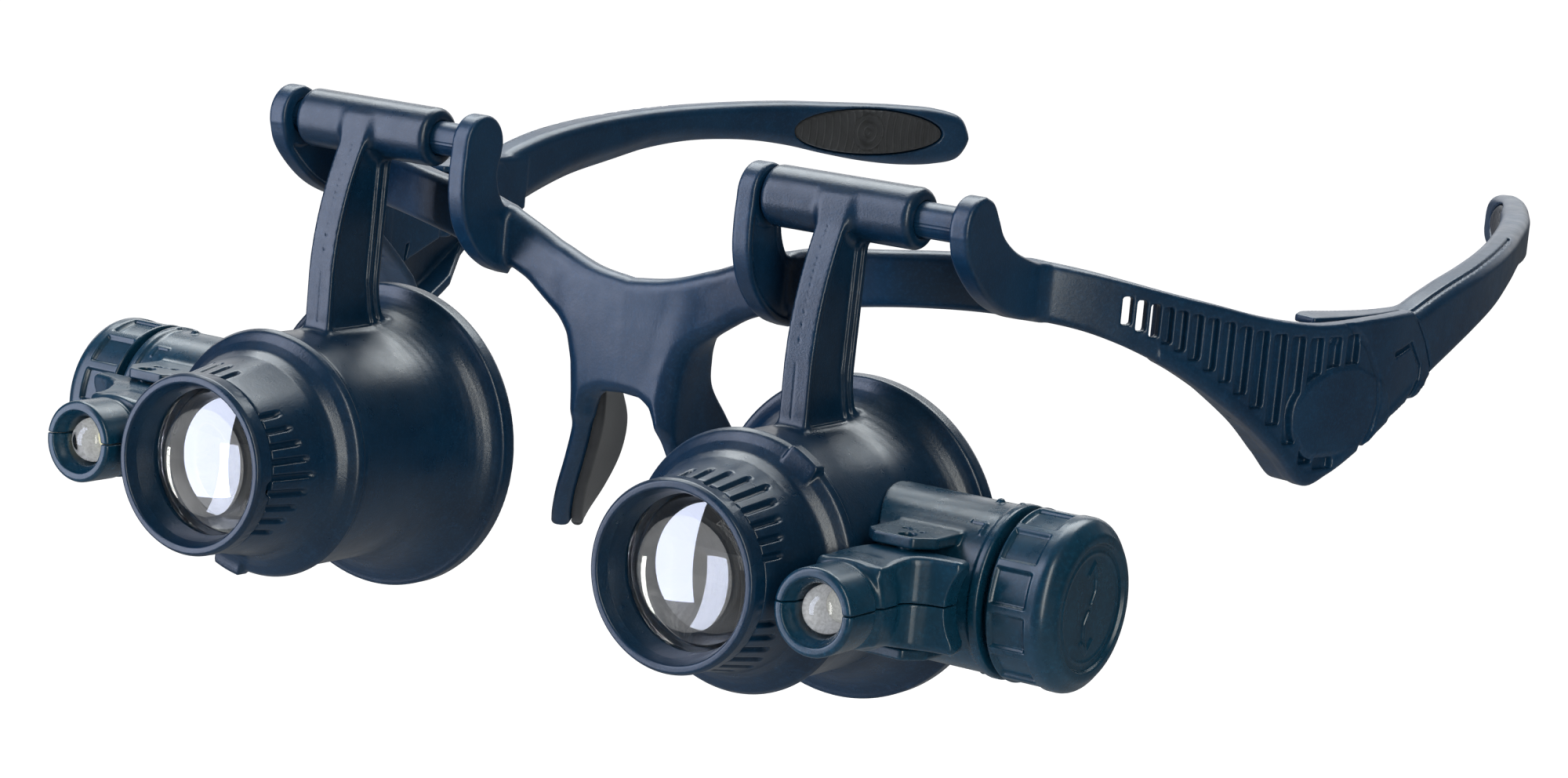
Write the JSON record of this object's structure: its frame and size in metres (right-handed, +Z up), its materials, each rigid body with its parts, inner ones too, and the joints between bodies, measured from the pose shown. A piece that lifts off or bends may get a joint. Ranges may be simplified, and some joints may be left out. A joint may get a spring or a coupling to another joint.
{
  "type": "eyewear magnifier",
  "caption": "Spectacle frame with two swinging loupes, each with an interchangeable lens cell, a side battery tube and a small swivelling LED lamp.",
  "frame": {"origin": "on the flat front face of the nose bridge, in the plane of symmetry of the frame, 21 mm below and 3.3 mm behind the common axis of the two pivot pins", "axes": "+X towards the wearer's left, +Y back along the open temples, +Z up; the lenses face -Y"},
  "size_m": [0.1351, 0.1751, 0.0568],
  "materials": {
    "frame_plastic": "satin navy blue with a fine grain",
    "loupe_plastic": "satin navy blue",
    "holder_plastic": "glossy dark teal blue",
    "grey_rubber": "matt dark grey",
    "lens_glass": "clear polished",
    "led_resin": "clear moulded resin",
    "steel": "plain",
    "cell_steel": "plain",
    "brass": "plain"
  },
  "bodies": {
    "frame": {"front_frame": "frame_plastic", "nose_pad_left": "grey_rubber", "nose_pad_right": "grey_rubber", "hinge_pin_left": "steel", "hinge_pin_right": "steel"},
    "pin_left": {"pivot_pin_left": "frame_plastic"},
    "loupe_left": {"loupe_body_left": "loupe_plastic", "battery_tube_left": "holder_plastic", "contact_disc_left": "brass", "button_cell_1_left": "cell_steel", "button_cell_2_left": "cell_steel", "button_cell_3_left": "cell_steel"},
    "optics_left": {"lens_cell_left": "loupe_plastic", "lens_ring_left": "loupe_plastic", "lens_left": "lens_glass"},
    "lamp_left": {"led_pod_upper_left": "holder_plastic", "led_pod_lower_left": "holder_plastic", "led_lamp_left": "led_resin"},
    "cap_carrier_left": {"contact_spring_left": "steel"},
    "cap_left": {"battery_cap_left": "holder_plastic"},
    "temple_left": {"temple_left": "frame_plastic", "temple_pad_left": "grey_rubber"},
    "pin_right": {"pivot_pin_right": "frame_plastic"},
    "loupe_right": {"loupe_body_right": "loupe_plastic", "battery_tube_right": "holder_plastic", "contact_disc_right": "brass", "button_cell_1_right": "cell_steel", "button_cell_2_right": "cell_steel", "button_cell_3_right": "cell_steel"},
    "optics_right": {"lens_cell_right": "loupe_plastic", "lens_ring_right": "loupe_plastic", "lens_right": "lens_glass"},
    "lamp_right": {"led_pod_upper_right": "holder_plastic", "led_pod_lower_right": "holder_plastic", "led_lamp_right": "led_resin"},
    "cap_carrier_right": {"contact_spring_right": "steel"},
    "cap_right": {"battery_cap_right": "holder_plastic"},
    "temple_right": {"temple_right": "frame_plastic", "temple_pad_right": "grey_rubber"}
  },
  "joints": [
    {"name": "loupe_tilt_left", "type": "hinge", "parent": "frame", "child": "pin_left", "pos_m": [0.0299, -0.0033, 0.021], "axis": [-1, 0, 0], "range_deg": [-3, 110]},
    {"name": "loupe_slide_left", "type": "slide", "parent": "pin_left", "child": "loupe_left", "axis": [1, 0, 0], "range_m": [-0.00015, 0.0048]},
    {"name": "lens_twist_left", "type": "hinge", "parent": "loupe_left", "child": "optics_left", "pos_m": [0.0299, -0.0153, -0.0149], "axis": [0, -1, 0], "range_deg": [0, 30]},
    {"name": "lamp_swivel_left", "type": "hinge", "parent": "loupe_left", "child": "lamp_left", "pos_m": [0.0487, -0.0173, -0.0149], "axis": [0, 0, 1], "range_deg": [-6, 10]},
    {"name": "cap_travel_left", "type": "slide", "parent": "loupe_left", "child": "cap_carrier_left", "axis": [1, 0, 0], "range_m": [-0.00066, 0.0011]},
    {"name": "cap_turn_left", "type": "hinge", "parent": "cap_carrier_left", "child": "cap_left", "pos_m": [0.0599, -0.0053, -0.0149], "axis": [1, 0, 0], "range_deg": [-120, 200]},
    {"name": "temple_fold_left", "type": "hinge", "parent": "frame", "child": "temple_left", "pos_m": [0.0608, 0.0452, 0.0059], "axis": [0, 0, 1], "range_deg": [0, 92]},
    {"name": "loupe_tilt_right", "type": "hinge", "parent": "frame", "child": "pin_right", "pos_m": [-0.0337, -0.0033, 0.021], "axis": [-1, 0, 0], "range_deg": [-3, 110]},
    {"name": "loupe_slide_right", "type": "slide", "parent": "pin_right", "child": "loupe_right", "axis": [1, 0, 0], "range_m": [-0.001, 0.0039]},
    {"name": "lens_twist_right", "type": "hinge", "parent": "loupe_right", "child": "optics_right", "pos_m": [-0.0337, -0.0153, -0.0149], "axis": [0, -1, 0], "range_deg": [0, 30]},
    {"name": "lamp_swivel_right", "type": "hinge", "parent": "loupe_right", "child": "lamp_right", "pos_m": [-0.0525, -0.0173, -0.0149], "axis": [0, 0, -1], "range_deg": [-6, 10]},
    {"name": "cap_travel_right", "type": "slide", "parent": "loupe_right", "child": "cap_carrier_right", "axis": [-1, 0, 0], "range_m": [-0.00066, 0.0011]},
    {"name": "cap_turn_right", "type": "hinge", "parent": "cap_carrier_right", "child": "cap_right", "pos_m": [-0.0637, -0.0053, -0.0149], "axis": [-1, 0, 0], "range_deg": [-120, 200]},
    {"name": "temple_fold_right", "type": "hinge", "parent": "frame", "child": "temple_right", "pos_m": [-0.0608, 0.0452, 0.0059], "axis": [0, 0, -1], "range_deg": [0, 72]}
  ],
  "couplings": [
    {"joint": "cap_turn_left", "follows": "cap_travel_left", "rad_per_m": 3141.6},
    {"joint": "cap_turn_right", "follows": "cap_travel_right", "rad_per_m": 3141.6}
  ]
}
